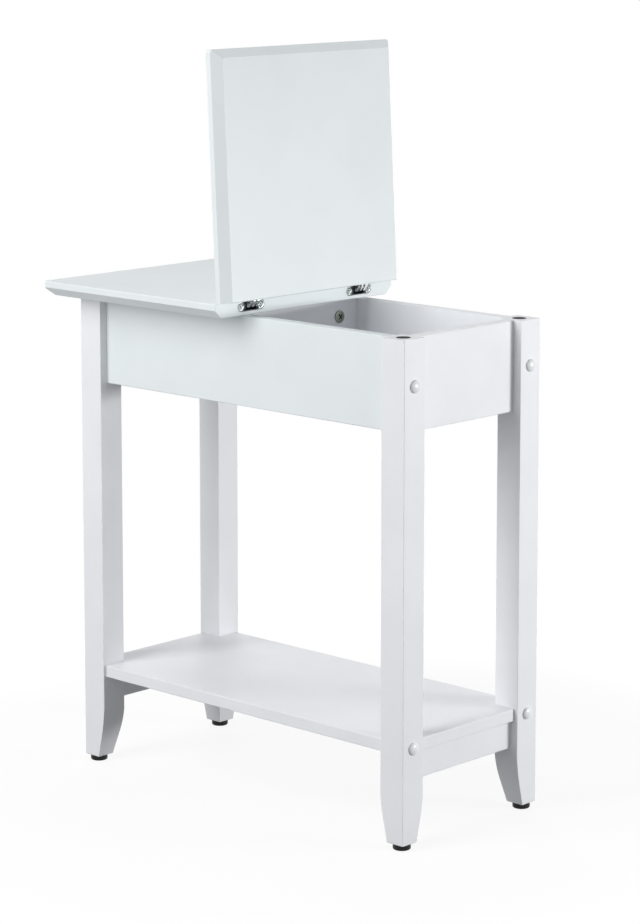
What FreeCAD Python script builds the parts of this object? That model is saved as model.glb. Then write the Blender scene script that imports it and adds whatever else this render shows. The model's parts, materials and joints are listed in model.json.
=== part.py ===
import FreeCAD, Part
import math
import os

import Sketcher

# Flip-top end table: a narrow table on four square legs. The right half of its top is a lid that
# turns over a storage box on two concealed link hinges. +X is the lid's end, -Y the front, +Z up.
# The table stands with the lid open, a little past upright.

doc = FreeCAD.newDocument("flip_top_end_table")
sheet = doc.addObject("Spreadsheet::Sheet", "sheet")

# Driving sizes, in millimetres and degrees. Each is measured from the middle of the closed top.
sizes = {
    # tops
    "table_height": 610,
    "top_length": 597,
    "top_depth": 305,
    "top_thick": 18,
    "under_bevel": 10,
    "top_round": 1.5,
    "corner_round": 4,
    "cut_ease": 1,
    # legs
    "leg_span_x": 537,
    "leg_span_y": 238,
    "leg_side": 35,
    "leg_arris": 1,
    "foot_side": 24,
    "foot_round": 1.5,
    "taper_top": 76,
    "taper_sweep": 180,
    # storage box; the long edges of its boards and of the shelf's rails are eased
    "board_ease": 0.8,
    "apron_height": 108,
    "apron_thick": 15,
    "apron_setback": 11,
    "end_thick": 15,
    "end_setback": 11,
    "divider_face": 0,
    "divider_thick": 15,
    "floor_thick": 5,
    "floor_rise": 8,
    "groove_deep": 5,
    "groove_play": 0.3,
    # shelf and the rails under it
    "shelf_top": 127,
    "shelf_thick": 15,
    "shelf_setback_x": 5,
    "shelf_setback_y": 4,
    "shelf_round": 1.2,
    "notch_play": 0.3,
    "rail_height": 34,
    "rail_thick": 15,
    "rail_setback": 10.5,
    # leg bolts, their caps and barrel nuts
    "bolt_drop": 54,
    "bolt_shaft": 6,
    "bolt_hole": 6.6,
    "bolt_head": 13,
    "bolt_head_thick": 3,
    "bolt_length": 72,
    "head_play": 0.2,
    "cap_across": 15,
    "cap_height": 4.5,
    "cap_rim": 1.6,
    "cap_crown": 7.5,
    "nut_across": 10,
    "nut_length": 12,
    "nut_inset": 25,
    # cleats and wood screws
    "cleat_gap": 9,
    "cleat_thick": 20,
    "cleat_height": 30,
    "screw_shaft": 4,
    "face_screw_head": 15.5,
    "face_screw_head_thick": 2.6,
    "face_screw_crown": 9,
    "face_screw_length": 30,
    "face_screw_drop": 19.5,
    "face_screw_inset": 31.5,
    "cleat_screw_head": 8,
    "cleat_screw_head_thick": 2.4,
    "cleat_screw_length": 30,
    "top_screw_length": 40,
    "top_screw_inset": 35,
    # loose tenons
    "tenon_thick": 6,
    "tenon_length": 24,
    "tenon_height": 70,
    "rail_tenon_height": 20,
    "divider_tenon_deep": 9,
    # lid pads and foot glides
    "pad_across": 17,
    "pad_thick": 1.5,
    "pad_proud": 0.15,
    "pad_play": 0.1,
    "glide_across": 21,
    "glide_height": 7,
    "glide_bevel": 1.5,
    # lid and hinges: the hinge line lies just above the fixed top's face
    "hinge_line": 3,
    "hinge_rise": 0.35,
    "lid_proud": 0.2,
    "lid_gap": 1,
    "rest_opening": 93,
    "hinge_inset": 59,
    "plate_length": 45,
    "plate_height": 12.7,
    "plate_thick": 2,
    "case_width": 21,
    "case_deep": 17.5,
    "case_wall": 1.075,
    "cheek_wall": 1.3,
    "pivot_inset": 2.6,
    "pivot_drop": 3.65,
    "pin_across": 1.2,
    "pin_play": 0.05,
    "hinge_screw_apart": 34,
    "hinge_screw_head": 7,
    "hinge_screw_shaft": 3.5,
    "hinge_screw_length": 18,
    # one hinge link: pivot, knee, centre pin, elbow and tail, in a line from its pivot
    "link_reach": 6,
    "link_width": 2.4,
    "link_thick": 3.1,
    "link_play": 0.2,
    "knee_drop": 3.64,
    "elbow_along": 10.43,
    "elbow_rise": 3.37,
    "tail_along": 9.49,
    "tail_rise": 8.54,
    "centre_throw": 0.64,
    "slot_wall": 0.8,
    "slot_play": 0.08,
}
for row, (alias, number) in enumerate(sizes.items(), start=1):
    sheet.set(f"A{row}", alias)
    sheet.set(f"B{row}", str(number))
    sheet.setAlias(f"B{row}", alias)
doc.recompute()

# Worked-out places, as expressions on the sheet.
half_x = "(sheet.leg_span_x / 2)"
half_y = "(sheet.leg_span_y / 2)"
leg_in_x = "(sheet.leg_span_x / 2 - sheet.leg_side)"
leg_in_y = "(sheet.leg_span_y / 2 - sheet.leg_side)"
leg_mid_y = "(sheet.leg_span_y / 2 - sheet.leg_side / 2)"
leg_mid_x = "(sheet.leg_span_x / 2 - sheet.leg_side / 2)"
leg_top = "(sheet.table_height - sheet.top_thick)"
apron_out = "(sheet.leg_span_y / 2 - sheet.apron_setback)"
apron_in = f"({apron_out} - sheet.apron_thick)"
apron_low = f"({leg_top} - sheet.apron_height)"
end_out = "(sheet.leg_span_x / 2 - sheet.end_setback)"
end_in = f"({end_out} - sheet.end_thick)"
end_mid = f"({end_out} - sheet.end_thick / 2)"
divider_back = "(sheet.divider_face - sheet.divider_thick)"
divider_mid = "(sheet.divider_face - sheet.divider_thick / 2)"
floor_low = f"({apron_low} + sheet.floor_rise)"
groove_tall = "(sheet.floor_thick + sheet.groove_play)"
shelf_low = "(sheet.shelf_top - sheet.shelf_thick)"
shelf_mid = "(sheet.shelf_top - sheet.shelf_thick / 2)"
rail_low = f"({shelf_low} - sheet.rail_height)"
rail_out = "(sheet.leg_span_x / 2 - sheet.rail_setback)"
rail_in = f"({rail_out} - sheet.rail_thick)"
rail_mid = f"({rail_out} - sheet.rail_thick / 2)"
bolt_high = f"({leg_top} - sheet.bolt_drop)"
nut_x = f"({leg_in_x} - sheet.nut_inset)"
face_screw_z = f"({leg_top} - sheet.face_screw_drop)"
face_screw_y = f"({apron_in} - sheet.face_screw_inset)"
cleat_end_y = f"({leg_in_y} - sheet.cleat_gap)"
top_screw_y = f"({cleat_end_y} - sheet.top_screw_inset)"
cleat_low = f"({leg_top} - sheet.cleat_height)"
panel_mid_z = f"({leg_top} - sheet.apron_height / 2)"
rail_mid_z = f"({shelf_low} - sheet.rail_height / 2)"
plate_mid_z = "(0 - sheet.plate_height / 2 - sheet.case_wall)"
hinge_z = "(sheet.table_height + sheet.hinge_rise)"
lid_drop = "(sheet.hinge_rise - sheet.lid_proud)"
fixed_length = "(sheet.hinge_line + sheet.top_length / 2)"
lid_length = "(sheet.top_length / 2 - sheet.hinge_line)"
# The origin stands on the floor in the middle of the open table's box, whose ends are the fixed
# top's end and the right-hand bolt caps.
origin_x = "((sheet.top_length - sheet.leg_span_x) / 4 - sheet.cap_height / 2)"

nodes = []


def size(alias):
    return float(sheet.get(alias))


def worked(expression):
    """The number that an expression on the sheet gives now."""
    return float(sheet.evalExpression(expression.replace("sheet.", "")))


def node(thing, name):
    """Names a finished sub-part, which is written to a file of that name."""
    thing.Label = name
    nodes.append(thing)
    return thing


def span(side, start, end):
    """Low end and length of a stretch from start to end, on the plus or minus side."""
    low = f"({start})" if side > 0 else f"(-1 * ({end}))"
    return low, f"(({end}) - ({start}))"


def signed(side, expression):
    return f"({side} * {expression})"


def rectangle(low_x, high_x, low_y, high_y):
    return [(low_x, low_y), (high_x, low_y), (high_x, high_y), (low_x, high_y)]


# ---- sketches and features ----

def new_body(name):
    return doc.addObject("PartDesign::Body", name)


def sketch_on(body, plane, level):
    """A sketch parallel to an origin plane of its body, at a level along that plane's axis."""
    planes = [feature for feature in body.Origin.OriginFeatures if feature.Role == f"{plane}_Plane"]
    sketch = body.newObject("Sketcher::SketchObject", f"{body.Name}_sketch")
    sketch.AttachmentSupport = [(planes[0], "")]
    sketch.MapMode = "FlatFace"
    facing = -1 if plane == "XZ" else 1
    sketch.setExpression("AttachmentOffset.Base.z", f"{facing} * ({level})")
    return sketch


def hold(sketch, geometry, point, place):
    """Ties a point of a sketch to a place given by two expressions."""
    for kind, expression in zip(("DistanceX", "DistanceY"), place):
        number = worked(expression)
        tie = sketch.addConstraint(Sketcher.Constraint(kind, -1, 1, geometry, point, number))
        sketch.setExpression(f"Constraints[{tie}]", expression)


def draw_polygon(sketch, corners):
    points = [FreeCAD.Vector(worked(x), worked(y), 0) for x, y in corners]
    first = sketch.GeometryCount
    count = len(points)
    for index in range(count):
        sketch.addGeometry(Part.LineSegment(points[index], points[(index + 1) % count]))
    for index in range(count):
        following = first + (index + 1) % count
        sketch.addConstraint(Sketcher.Constraint("Coincident", first + index, 2, following, 1))
        hold(sketch, first + index, 1, corners[index])


def draw_circles(sketch, centres, radius):
    for x, y in centres:
        middle = FreeCAD.Vector(worked(x), worked(y), 0)
        circle = Part.Circle(middle, FreeCAD.Vector(0, 0, 1), worked(radius))
        index = sketch.addGeometry(circle)
        hold(sketch, index, 3, (x, y))
        tie = sketch.addConstraint(Sketcher.Constraint("Radius", index, worked(radius)))
        sketch.setExpression(f"Constraints[{tie}]", radius)


def draw_stadium(sketch, middle, reach, radius):
    """Two half circles whose middles lie reach each side of the middle, and their tangents."""
    x, y = middle
    ends = [f"({x} + {reach})", f"({x} - {reach})"]
    first = sketch.GeometryCount
    up = FreeCAD.Vector(0, 0, 1)
    for end, start in zip(ends, (-math.pi / 2, math.pi / 2)):
        circle = Part.Circle(FreeCAD.Vector(worked(end), worked(y), 0), up, worked(radius))
        sketch.addGeometry(Part.ArcOfCircle(circle, start, start + math.pi))
    for level in (1, -1):
        height = worked(y) + level * worked(radius)
        right = FreeCAD.Vector(worked(ends[0]), height, 0)
        left = FreeCAD.Vector(worked(ends[1]), height, 0)
        way = (right, left) if level > 0 else (left, right)
        sketch.addGeometry(Part.LineSegment(*way))
    joints = ((0, 2, 2, 1), (2, 2, 1, 1), (1, 2, 3, 1), (3, 2, 0, 1))
    for one, one_end, other, other_end in joints:
        tangent = Sketcher.Constraint("Tangent", first + one, one_end, first + other, other_end)
        sketch.addConstraint(tangent)
    for index, end in enumerate(ends):
        hold(sketch, first + index, 3, (end, y))
    tie = sketch.addConstraint(Sketcher.Constraint("Radius", first, worked(radius)))
    sketch.setExpression(f"Constraints[{tie}]", radius)


def extrude(body, kind, sketch, plane, deep):
    """Adds or takes away a sketch's area, from its level along the positive axis."""
    feature = body.newObject(f"PartDesign::{kind}", f"{body.Name}_{kind.lower()}")
    feature.Profile = sketch
    along_normal = plane != "XZ"
    feature.Reversed = not along_normal if kind == "Pad" else along_normal
    feature.setExpression("Length", deep)
    return feature


def add(body, plane, reach, corners):
    sketch = sketch_on(body, plane, reach[0])
    draw_polygon(sketch, corners)
    return extrude(body, "Pad", sketch, plane, reach[1])


def cut(body, plane, reach, *areas):
    sketch = sketch_on(body, plane, reach[0])
    for corners in areas:
        draw_polygon(sketch, corners)
    return extrude(body, "Pocket", sketch, plane, reach[1])


def bore(body, plane, reach, centres, radius):
    sketch = sketch_on(body, plane, reach[0])
    draw_circles(sketch, centres, radius)
    return extrude(body, "Pocket", sketch, plane, reach[1])


def dress(body, kind, amount, wanted):
    """A fillet or chamfer on the edges of the body so far that a test picks."""
    doc.recompute()
    last = body.Tip
    names = [f"Edge{i}" for i, edge in enumerate(last.Shape.Edges, start=1) if wanted(edge)]
    feature = body.newObject(f"PartDesign::{kind}", f"{body.Name}_{kind.lower()}")
    feature.Base = (last, names)
    feature.setExpression("Radius" if kind == "Fillet" else "Size", amount)
    return feature


# an edge lies at a place when it is within this many millimetres of it
closeness = 0.01


def upright(edge):
    box = edge.BoundBox
    return box.XLength < closeness and box.YLength < closeness


def along(axis):
    """A test for straight edges that run along X or Y."""
    def wanted(edge):
        box = edge.BoundBox
        aside = box.YLength if axis == "X" else box.XLength
        return aside < closeness and box.ZLength < closeness
    return wanted


def level_at(edge, height):
    box = edge.BoundBox
    return abs(box.ZMin - height) < closeness and abs(box.ZMax - height) < closeness


def turned(name, outline, facing, place):
    """A piece turned on a lathe: its outline is (radius, height), its axis faces the way given."""
    body = new_body(name)
    sketch = sketch_on(body, "XZ", "0")
    draw_polygon(sketch, outline)
    lathe = body.newObject("PartDesign::Revolution", f"{name}_turning")
    lathe.Profile = sketch
    lathe.ReferenceAxis = (sketch, ["V_Axis"])
    lathe.Angle = 360
    turn = FreeCAD.Rotation(FreeCAD.Vector(0, 0, 1), FreeCAD.Vector(*facing))
    body.Placement = FreeCAD.Placement(FreeCAD.Vector(), turn)
    put(body, place)
    return body


def rod(name, axis, start, radius, length):
    """A plain round bar from a start point along X, Y or Z."""
    bar = doc.addObject("Part::Cylinder", name)
    bar.setExpression("Radius", radius)
    bar.setExpression("Height", length)
    way = FreeCAD.Vector(*[float(letter == axis) for letter in "XYZ"])
    turn = FreeCAD.Rotation(FreeCAD.Vector(0, 0, 1), way)
    bar.Placement = FreeCAD.Placement(FreeCAD.Vector(), turn)
    put(bar, start)
    return bar


def put(thing, place):
    for letter, expression in zip("xyz", place):
        thing.setExpression(f"Placement.Base.{letter}", expression)


def group(name, pieces):
    bundle = doc.addObject("Part::Compound", name)
    bundle.Links = pieces
    return bundle


def stand(thing):
    """Moves a piece of the standing table from the top's middle to the part's origin."""
    put(thing, (origin_x, "0", "0"))
    return thing


def on_fixed(thing):
    """Places a piece that is drawn from the hinge line, on the fixed side."""
    put(thing, (f"{origin_x} + sheet.hinge_line", "0", hinge_z))
    return thing


def on_lid(thing):
    """Places a piece that is drawn from the hinge line with the lid shut, on the open lid."""
    on_fixed(thing)
    thing.Placement.Rotation = FreeCAD.Rotation(FreeCAD.Vector(0, -1, 0), size("rest_opening"))
    thing.setExpression("Placement.Rotation.Angle", "sheet.rest_opening")
    return thing


# ---- legs ----

def draw_taper(sketch, side, inner, outer):
    """The waste beside a tapered leg: it starts in a sweep, then runs straight to the foot."""
    edge = worked(inner)
    top = size("taper_top")
    low = size("glide_height")
    sweep = size("taper_sweep")
    fall = top - low
    inset = size("leg_side") - size("foot_side")
    # angle at which a line from the foot touches the sweep
    reach = math.hypot(sweep - inset, fall)
    turn = math.atan2(fall, sweep - inset) - math.acos(min(1.0, sweep / reach))
    start = FreeCAD.Vector(side * edge, top, 0)
    touch_x = side * (edge + sweep * (1 - math.cos(turn)))
    touch = FreeCAD.Vector(touch_x, top - sweep * math.sin(turn), 0)
    foot = FreeCAD.Vector(side * (edge + inset), low, 0)
    past = side * (edge - inset)
    hub = FreeCAD.Vector(side * (edge + sweep), top, 0)
    circle = Part.Circle(hub, FreeCAD.Vector(0, 0, 1), sweep)
    angles = (math.pi, math.pi + turn) if side > 0 else (-turn, 0)
    sketch.addGeometry(Part.ArcOfCircle(circle, *angles))
    corners = [touch, foot, FreeCAD.Vector(past, low, 0), FreeCAD.Vector(past, top, 0), start]
    for one, other in zip(corners, corners[1:]):
        sketch.addGeometry(Part.LineSegment(one, other))
    begin, finish = (1, 2) if side > 0 else (2, 1)
    sketch.addConstraint(Sketcher.Constraint("Tangent", 0, finish, 1, 1))
    for index in (1, 2, 3):
        sketch.addConstraint(Sketcher.Constraint("Coincident", index, 2, index + 1, 1))
    sketch.addConstraint(Sketcher.Constraint("Coincident", 4, 2, 0, begin))
    hold(sketch, 0, begin, (signed(side, inner), "sheet.taper_top"))
    hub_tie = Sketcher.Constraint("DistanceY", -1, 1, 0, 3, top)
    sketch.setExpression(f"Constraints[{sketch.addConstraint(hub_tie)}]", "sheet.taper_top")
    radius = sketch.addConstraint(Sketcher.Constraint("Radius", 0, sweep))
    sketch.setExpression(f"Constraints[{radius}]", "sheet.taper_sweep")
    foot_x = signed(side, f"({outer} - sheet.foot_side)")
    past_x = signed(side, f"({inner} - sheet.leg_side + sheet.foot_side)")
    hold(sketch, 2, 1, (foot_x, "sheet.glide_height"))
    hold(sketch, 3, 1, (past_x, "sheet.glide_height"))
    hold(sketch, 4, 1, (past_x, "sheet.taper_top"))


panel_tenon = "sheet.tenon_height"
rail_tenon = "sheet.rail_tenon_height"


def upright_slot(x, z, height):
    """The outline of a tenon's end, or of its mortise, seen along Y."""
    half = "sheet.tenon_thick / 2"
    return rectangle(f"{x} - {half}", f"{x} + {half}", f"{z} - {height} / 2", f"{z} + {height} / 2")


def make_leg(name, side_x, side_y):
    body = new_body(name)
    wide_x = span(side_x, leg_in_x, half_x)
    wide_y = span(side_y, leg_in_y, half_y)
    square = rectangle(signed(side_x, leg_in_x), signed(side_x, half_x),
                       signed(side_y, leg_in_y), signed(side_y, half_y))
    add(body, "XY", ("sheet.glide_height", f"{leg_top} - sheet.glide_height"), square)
    dress(body, "Fillet", "sheet.leg_arris", upright)
    for plane, side, inner, outer, across in (("XZ", side_x, leg_in_x, half_x, wide_y),
                                              ("YZ", side_y, leg_in_y, half_y, wide_x)):
        sketch = sketch_on(body, plane, across[0])
        draw_taper(sketch, side, inner, outer)
        extrude(body, "Pocket", sketch, plane, across[1])
    foot = size("glide_height")
    dress(body, "Fillet", "sheet.foot_round", lambda edge: level_at(edge, foot))
    bolts = [(signed(side_y, leg_mid_y), height) for height in (bolt_high, shelf_mid)]
    bore(body, "YZ", wide_x, bolts, "sheet.bolt_hole / 2")
    head_seat = span(side_x, f"{half_x} - sheet.bolt_head_thick", half_x)
    bore(body, "YZ", head_seat, bolts, "sheet.bolt_head / 2 + sheet.head_play")
    mortise = span(side_y, leg_in_y, f"{leg_in_y} + sheet.tenon_length / 2")
    cut(body, "XZ", mortise, upright_slot(signed(side_x, end_mid), panel_mid_z, panel_tenon),
        upright_slot(signed(side_x, rail_mid), rail_mid_z, rail_tenon))
    if side_x > 0:
        seat = (f"{leg_top} + sheet.pad_proud - sheet.pad_thick", "sheet.pad_thick")
        middle = (signed(side_x, leg_mid_x), signed(side_y, leg_mid_y))
        bore(body, "XY", seat, [middle], "sheet.pad_across / 2 + sheet.pad_play")
    node(stand(body), name)


def foot_middle(side_x, side_y):
    """The middle of a foot, which the taper leaves at the leg's outer corner."""
    x = signed(side_x, f"({half_x} - sheet.foot_side / 2)")
    y = signed(side_y, f"({half_y} - sheet.foot_side / 2)")
    return x, y


corners = [(end, side_x, face, side_y) for end, side_x in (("left", -1), ("right", 1))
           for face, side_y in (("front", -1), ("back", 1))]
for end, side_x, face, side_y in corners:
    make_leg(f"leg_{face}_{end}", side_x, side_y)


# ---- the box: aprons, end panels, divider and floor ----

def make_apron(name, side):
    body = new_body(name)
    add(body, "XY", (apron_low, "sheet.apron_height"),
        rectangle(f"-1 * {leg_in_x}", leg_in_x, signed(side, apron_in), signed(side, apron_out)))
    dress(body, "Chamfer", "sheet.board_ease", along("X"))
    # the floor's groove, as far as the divider
    groove = rectangle("sheet.divider_face - sheet.groove_deep", leg_in_x,
                       signed(side, f"({apron_in} - sheet.groove_deep)"),
                       signed(side, f"({apron_in} + sheet.groove_deep)"))
    cut(body, "XY", (floor_low, groove_tall), groove)
    for end in (-1, 1):
        reach = span(end, f"{half_x} - sheet.bolt_length", leg_in_x)
        bore(body, "YZ", reach, [(signed(side, leg_mid_y), bolt_high)], "sheet.bolt_hole / 2")
    nuts = [(signed(end, nut_x), bolt_high) for end in (-1, 1)]
    bore(body, "XZ", span(side, apron_in, f"{apron_in} + sheet.nut_length"), nuts,
         "sheet.nut_across / 2")
    cut(body, "XZ", span(side, apron_in, f"{apron_in} + sheet.divider_tenon_deep"),
        upright_slot(divider_mid, panel_mid_z, panel_tenon))
    node(stand(body), name)


def mortise_both_edges(body, x, z, edge, deep, height):
    """Mortises in the front and back edges of a panel that runs across the table."""
    for side in (-1, 1):
        cut(body, "XZ", span(side, f"{edge} - {deep}", edge), upright_slot(x, z, height))


def make_end_panel(name, side):
    body = new_body(name)
    add(body, "XY", (apron_low, "sheet.apron_height"),
        rectangle(signed(side, end_in), signed(side, end_out), f"-1 * {leg_in_y}", leg_in_y))
    dress(body, "Chamfer", "sheet.board_ease", along("Y"))
    mortise_both_edges(body, signed(side, end_mid), panel_mid_z, leg_in_y,
                       "sheet.tenon_length / 2", panel_tenon)
    if side > 0:
        groove = rectangle(f"{end_in} - sheet.groove_deep", f"{end_in} + sheet.groove_deep",
                           f"-1 * {leg_in_y}", leg_in_y)
        cut(body, "XY", (floor_low, groove_tall), groove)
    else:
        holes = [(signed(way, face_screw_y), face_screw_z) for way in (-1, 1)]
        reach = span(side, end_in, f"{end_in} - sheet.cleat_thick + sheet.cleat_screw_length")
        bore(body, "YZ", reach, holes, "sheet.screw_shaft / 2")
    node(stand(body), name)


divider_deep = "(sheet.tenon_length - sheet.divider_tenon_deep)"


def make_divider():
    body = new_body("divider")
    add(body, "XY", (apron_low, "sheet.apron_height"),
        rectangle(divider_back, "sheet.divider_face", f"-1 * {apron_in}", apron_in))
    dress(body, "Chamfer", "sheet.board_ease", along("Y"))
    groove = rectangle("sheet.divider_face - sheet.groove_deep",
                       "sheet.divider_face + sheet.groove_deep", f"-1 * {apron_in}", apron_in)
    cut(body, "XY", (floor_low, groove_tall), groove)
    mortise_both_edges(body, divider_mid, panel_mid_z, apron_in, divider_deep, panel_tenon)
    holes = [(signed(way, face_screw_y), face_screw_z) for way in (-1, 1)]
    bore(body, "YZ", (divider_back, "sheet.divider_thick"), holes, "sheet.screw_shaft / 2")
    node(stand(body), "divider")


def make_floor():
    """The compartment's floor lies in the grooves and is notched round the right-hand legs."""
    body = new_body("compartment_floor")
    into = "(sheet.groove_deep - sheet.groove_play)"
    low = f"(sheet.divider_face - {into})"
    high = f"({end_in} + {into})"
    wide = f"({apron_in} + {into})"
    neck = f"({leg_in_y} - sheet.notch_play)"
    shoulder = f"({leg_in_x} - sheet.notch_play)"
    outline = [(low, f"-1 * {wide}"), (shoulder, f"-1 * {wide}"), (shoulder, f"-1 * {neck}"),
               (high, f"-1 * {neck}"), (high, neck), (shoulder, neck), (shoulder, wide),
               (low, wide)]
    add(body, "XY", (floor_low, "sheet.floor_thick"), outline)
    node(stand(body), "compartment_floor")


make_apron("apron_front", -1)
make_apron("apron_back", 1)
make_end_panel("end_panel_left", -1)
make_end_panel("end_panel_right", 1)
make_divider()
make_floor()


# ---- the shelf and its rails ----

def make_shelf():
    """The shelf fills the space between the legs and butts against their inner faces."""
    body = new_body("shelf")
    end = f"({half_x} - sheet.shelf_setback_x)"
    face = f"({half_y} - sheet.shelf_setback_y)"
    neck = f"({leg_in_y} - sheet.notch_play)"
    quarter = [(leg_in_x, face), (leg_in_x, neck), (end, neck)]
    outline = []
    for side_x, side_y in ((1, 1), (1, -1), (-1, -1), (-1, 1)):
        turn = quarter if side_x == side_y else quarter[::-1]
        outline += [(signed(side_x, x), signed(side_y, y)) for x, y in turn]
    add(body, "XY", (shelf_low, "sheet.shelf_thick"), outline)
    face_y = worked(face)
    end_x = worked(end)

    def open_edge(edge):
        middle = edge.CenterOfMass
        at_face = abs(abs(middle.y) - face_y) < closeness
        at_end = abs(abs(middle.x) - end_x) < closeness
        return (at_face or at_end) and not upright(edge)

    dress(body, "Fillet", "sheet.shelf_round", open_edge)
    for side in (-1, 1):
        holes = [(signed(way, leg_mid_y), shelf_mid) for way in (-1, 1)]
        reach = span(side, f"{half_x} - sheet.bolt_length", leg_in_x)
        bore(body, "YZ", reach, holes, "sheet.bolt_hole / 2")
    nuts = [(signed(side_x, nut_x), signed(side_y, leg_mid_y)) for _, side_x, _, side_y in corners]
    bore(body, "XY", (shelf_low, "sheet.nut_length"), nuts, "sheet.nut_across / 2")
    node(stand(body), "shelf")


def make_rail(name, side):
    body = new_body(name)
    add(body, "XY", (rail_low, "sheet.rail_height"),
        rectangle(signed(side, rail_in), signed(side, rail_out), f"-1 * {leg_in_y}", leg_in_y))
    dress(body, "Chamfer", "sheet.board_ease", along("Y"))
    mortise_both_edges(body, signed(side, rail_mid), rail_mid_z, leg_in_y,
                       "sheet.tenon_length / 2", rail_tenon)
    node(stand(body), name)


make_shelf()
make_rail("rail_left", -1)
make_rail("rail_right", 1)


# ---- bolts, caps and barrel nuts, one of each at both heights of every leg ----

bolt_outline = [("0", "-1 * sheet.bolt_length"),
                ("sheet.bolt_shaft / 2", "-1 * sheet.bolt_length"),
                ("sheet.bolt_shaft / 2", "-1 * sheet.bolt_head_thick"),
                ("sheet.bolt_head / 2", "-1 * sheet.bolt_head_thick"),
                ("sheet.bolt_head / 2", "0"),
                ("0", "0")]
cap_outline = [("0", "0"),
               ("sheet.cap_across / 2", "0"),
               ("sheet.cap_across / 2", "sheet.cap_rim"),
               ("sheet.cap_crown / 2", "sheet.cap_height"),
               ("0", "sheet.cap_height")]
bolts = []
caps = []
nuts = []
for end, side_x, face, side_y in corners:
    for level, height in (("high", bolt_high), ("low", shelf_mid)):
        spot = (signed(side_x, half_x), signed(side_y, leg_mid_y), height)
        facing = (side_x, 0, 0)
        bolts.append(turned(f"bolt_{face}_{end}_{level}", bolt_outline, facing, spot))
        caps.append(turned(f"cap_{face}_{end}_{level}", cap_outline, facing, spot))
        if level == "high":
            low, deep = span(side_y, apron_in, f"{apron_in} + sheet.nut_length")
            barrel_axis = "Y"
            start = (signed(side_x, nut_x), low, height)
        else:
            barrel_axis = "Z"
            deep = "sheet.nut_length"
            start = (signed(side_x, nut_x), signed(side_y, leg_mid_y), shelf_low)
        barrel = rod(f"barrel_{face}_{end}_{level}", barrel_axis, start,
                     "sheet.nut_across / 2", deep)
        thread_low = span(side_x, f"{nut_x} - sheet.nut_across", f"{nut_x} + sheet.nut_across")
        thread = rod(f"thread_{face}_{end}_{level}", "X",
                     (thread_low[0], signed(side_y, leg_mid_y), height),
                     "sheet.bolt_shaft / 2", thread_low[1])
        nut = doc.addObject("Part::Cut", f"nut_{face}_{end}_{level}")
        nut.Base = barrel
        nut.Tool = thread
        nuts.append(nut)
node(stand(group("leg_bolt_group", bolts)), "leg_bolts")
node(stand(group("bolt_cap_group", caps)), "bolt_caps")
node(stand(group("barrel_nut_group", nuts)), "barrel_nuts")


# ---- loose tenons ----

def cross_tenons(name, x, z, edge, into_panel, height):
    """The tenons that join a crosswise panel to what stands at its front and back edges."""
    tenons = []
    for side in (-1, 1):
        start = f"{edge} - {into_panel}"
        low, deep = span(side, start, f"{start} + sheet.tenon_length")
        tenon = doc.addObject("Part::Box", f"{name}_{side + 1}")
        tenon.setExpression("Length", "sheet.tenon_thick")
        tenon.setExpression("Width", deep)
        tenon.setExpression("Height", height)
        put(tenon, (f"{x} - sheet.tenon_thick / 2", low, f"{z} - {height} / 2"))
        tenons.append(tenon)
    return tenons


panel_tenons = []
rail_tenons = []
for side in (-1, 1):
    panel_tenons += cross_tenons(f"panel_tenon_{side + 1}", signed(side, end_mid), panel_mid_z,
                                 leg_in_y, "sheet.tenon_length / 2", panel_tenon)
    rail_tenons += cross_tenons(f"rail_tenon_{side + 1}", signed(side, rail_mid), rail_mid_z,
                                leg_in_y, "sheet.tenon_length / 2", rail_tenon)
divider_tenons = cross_tenons("divider_tenon", divider_mid, panel_mid_z, apron_in, divider_deep,
                              panel_tenon)
node(stand(group("end_panel_tenon_group", panel_tenons)), "end_panel_tenons")
node(stand(group("rail_tenon_group", rail_tenons)), "rail_tenons")
node(stand(group("divider_tenon_group", divider_tenons)), "divider_tenons")


# ---- cleats under the fixed top, and the screws in them ----

def round_screw(name, length, facing, place):
    """A wood screw with a round head, its head standing on its place."""
    outline = [("0", f"-1 * {length}"), ("sheet.screw_shaft / 2", f"-1 * {length}"),
               ("sheet.screw_shaft / 2", "0"), ("sheet.cleat_screw_head / 2", "0"),
               ("sheet.cleat_screw_head / 2", "sheet.cleat_screw_head_thick"),
               ("0", "sheet.cleat_screw_head_thick")]
    return turned(name, outline, facing, place)


screw_ys = [signed(way, face_screw_y) for way in (-1, 1)]
top_screw_ys = [signed(way, top_screw_y) for way in (-1, 1)]
cleats = {"cleat_divider": f"({divider_back} - sheet.cleat_thick)",
          "cleat_end": f"(-1 * {end_in})"}
top_screws = []
for name, low in cleats.items():
    middle = f"({low} + sheet.cleat_thick / 2)"
    cleat = new_body(name)
    add(cleat, "XY", (cleat_low, "sheet.cleat_height"),
        rectangle(low, f"{low} + sheet.cleat_thick", f"-1 * {cleat_end_y}", cleat_end_y))
    bore(cleat, "YZ", (low, "sheet.cleat_thick"), [(y, face_screw_z) for y in screw_ys],
         "sheet.screw_shaft / 2")
    bore(cleat, "XY", (cleat_low, "sheet.cleat_height"), [(middle, y) for y in top_screw_ys],
         "sheet.screw_shaft / 2")
    node(stand(cleat), name)
    for index, y in enumerate(top_screw_ys):
        top_screws.append(round_screw(f"{name}_top_screw_{index}", "sheet.top_screw_length",
                                      (0, 0, -1), (middle, y, cleat_low)))
node(stand(group("top_screw_group", top_screws)), "top_screws")

end_screws = []
for index, y in enumerate(screw_ys):
    face_x = f"(-1 * {end_in} + sheet.cleat_thick)"
    end_screws.append(round_screw(f"cleat_screw_{index}", "sheet.cleat_screw_length",
                                  (1, 0, 0), (face_x, y, face_screw_z)))
node(stand(group("cleat_screw_group", end_screws)), "cleat_screws")

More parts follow.
